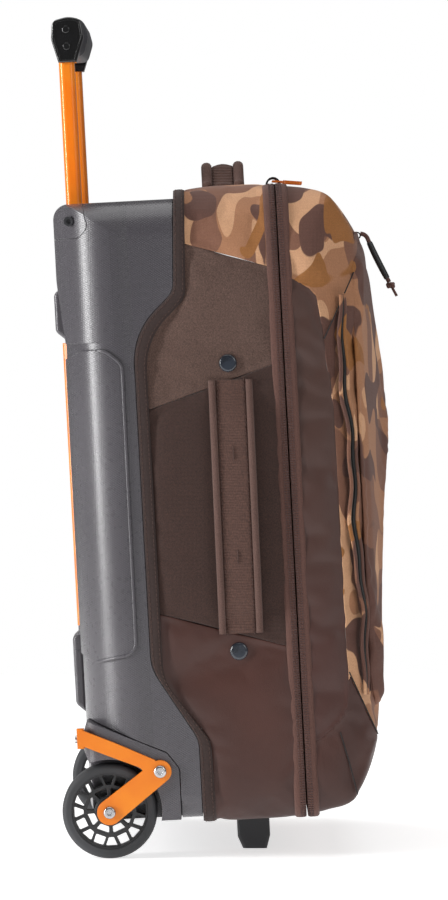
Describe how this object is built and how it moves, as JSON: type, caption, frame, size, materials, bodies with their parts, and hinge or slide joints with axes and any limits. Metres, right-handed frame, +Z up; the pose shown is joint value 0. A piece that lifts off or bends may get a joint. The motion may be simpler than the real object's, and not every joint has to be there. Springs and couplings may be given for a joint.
{
  "type": "rolling duffel bag",
  "caption": "Upright wheeled duffel: hard back tray with telescopic handle and two bracket wheels, soft zip-off lid with a stuffed front pocket.",
  "frame": {"origin": "on the floor under the middle of the standing bag's overall box", "axes": "+Z up, -Y towards the bag's front (lid), +X towards the bag's right as seen from behind the handle; the bag leans 3 degrees back"},
  "size_m": [0.373, 0.2969, 0.7098],
  "materials": {
    "tray_plastic": "satin",
    "black_plastic": "satin",
    "gloss_black": "gloss",
    "grip_plastic": "satin",
    "orange_tube": "satin",
    "orange_cast": "satin",
    "orange_plastic": "satin",
    "aluminium_bare": "satin",
    "steel": "satin",
    "wheel_plastic": "matte",
    "tyre_rubber": "matte",
    "camo_fabric": "matte",
    "heather_fabric": "matte",
    "heather_dark": "matte",
    "coated_fabric": "satin",
    "tape_fabric": "matte",
    "binding_fabric": "matte",
    "webbing_fabric": "matte",
    "lining_fabric": "matte",
    "snap_black": "gloss",
    "zipper_metal": "satin",
    "cord_fabric": "matte"
  },
  "bodies": {
    "root": {"back_tray": "tray_plastic", "corner_cover_left": "tray_plastic", "corner_cover_right": "tray_plastic", "corner_screws": "black_plastic", "wheel_housing_left": "tray_plastic", "wheel_housing_right": "tray_plastic", "wheel_bracket_left": "orange_cast", "wheel_bracket_right": "orange_cast", "axle_bolts": "steel", "bracket_bolts": "steel", "skid_rails": "orange_plastic", "rail_bumpers": "tray_plastic", "outer_tube_left": "aluminium_bare", "outer_tube_right": "aluminium_bare", "tube_guides": "black_plastic", "tube_mounts": "black_plastic", "front_foot": "black_plastic", "foot_screws": "steel", "edge_binding": "binding_fabric", "back_lining": "lining_fabric", "gusset_top": "camo_fabric", "base_wrap": "coated_fabric", "side_panels_upper": "heather_fabric", "side_panels_middle": "heather_dark", "zipper_half_main": "tape_fabric", "side_handle": "webbing_fabric", "top_handle": "webbing_fabric", "snap_caps": "snap_black"},
    "wheel_left": {"wheel_core_left": "wheel_plastic", "wheel_tyre_left": "tyre_rubber", "wheel_bearings_left": "steel"},
    "wheel_right": {"wheel_core_right": "wheel_plastic", "wheel_tyre_right": "tyre_rubber", "wheel_bearings_right": "steel"},
    "handle": {"inner_tube_left": "orange_tube", "inner_tube_right": "orange_tube", "tube_plugs": "black_plastic", "grip_core": "grip_plastic", "grip_sleeve": "grip_plastic", "grip_end_left": "gloss_black", "grip_end_right": "gloss_black", "grip_bolts": "gloss_black", "release_springs": "steel"},
    "release": {"release_button": "black_plastic", "release_yoke": "aluminium_bare"},
    "pin_left": {"lock_pin_left": "steel"},
    "pin_right": {"lock_pin_right": "steel"},
    "lid": {"lid_base": "coated_fabric", "lid_front": "camo_fabric", "lid_wings": "coated_fabric", "zipper_half_lid": "tape_fabric", "front_pocket": "camo_fabric", "pocket_zipper": "tape_fabric"},
    "pocket_pull": {"pocket_slider": "zipper_metal", "pull_cord": "cord_fabric", "pull_knot": "cord_fabric"},
    "slider_left": {"main_slider_left": "zipper_metal"},
    "slider_right": {"main_slider_right": "zipper_metal"},
    "pull_left": {"main_pull_left": "orange_plastic"},
    "pull_right": {"main_pull_right": "orange_plastic"}
  },
  "joints": [
    {"name": "wheel_spin_left", "type": "hinge", "parent": "root", "child": "wheel_left", "pos_m": [-0.162, 0.09181, 0.0398], "axis": [1, 0, 0], "continuous": true},
    {"name": "wheel_spin_right", "type": "hinge", "parent": "root", "child": "wheel_right", "pos_m": [0.162, 0.09181, 0.0398], "axis": [1, 0, 0], "continuous": true},
    {"name": "handle_slide", "type": "slide", "parent": "root", "child": "handle", "axis": [0, 0.0523, 0.9986], "range_m": [-0.116, 0.3]},
    {"name": "release_press", "type": "slide", "parent": "handle", "child": "release", "axis": [0, 0.0523, 0.9986], "range_m": [-0.004, 0], "stiffness_N_per_m": 500, "springref_m": 0.004, "deforming": ["release_springs"]},
    {"name": "lock_pin_left", "type": "slide", "parent": "handle", "child": "pin_left", "axis": [1, 0, 0], "range_m": [0, 0.0025]},
    {"name": "lock_pin_right", "type": "slide", "parent": "handle", "child": "pin_right", "axis": [-1, 0, 0], "range_m": [0, 0.0025]},
    {"name": "lid_open", "type": "hinge", "parent": "root", "child": "lid", "pos_m": [0, -0.07388, 0.03476], "axis": [1, 0, 0], "range_deg": [0, 120]},
    {"name": "pocket_zip", "type": "slide", "parent": "lid", "child": "pocket_pull", "axis": [1, 0, 0], "range_m": [-0.06, 0.06]},
    {"name": "slider_run_left", "type": "slide", "parent": "root", "child": "slider_left", "axis": [1, 0, 0], "range_m": [-0.105, 0.013]},
    {"name": "slider_run_right", "type": "slide", "parent": "root", "child": "slider_right", "axis": [1, 0, 0], "range_m": [-0.013, 0.105]},
    {"name": "pull_swing_left", "type": "hinge", "parent": "slider_left", "child": "pull_left", "pos_m": [-0.026, -0.04587, 0.56913], "axis": [-1, 0, 0], "range_deg": [0, 150]},
    {"name": "pull_swing_right", "type": "hinge", "parent": "slider_right", "child": "pull_right", "pos_m": [0.026, -0.04587, 0.56913], "axis": [-1, 0, 0], "range_deg": [0, 150]}
  ],
  "couplings": [
    {"joint": "lock_pin_left", "follows": "release_press", "ratio": -0.625},
    {"joint": "lock_pin_right", "follows": "release_press", "ratio": -0.625}
  ]
}
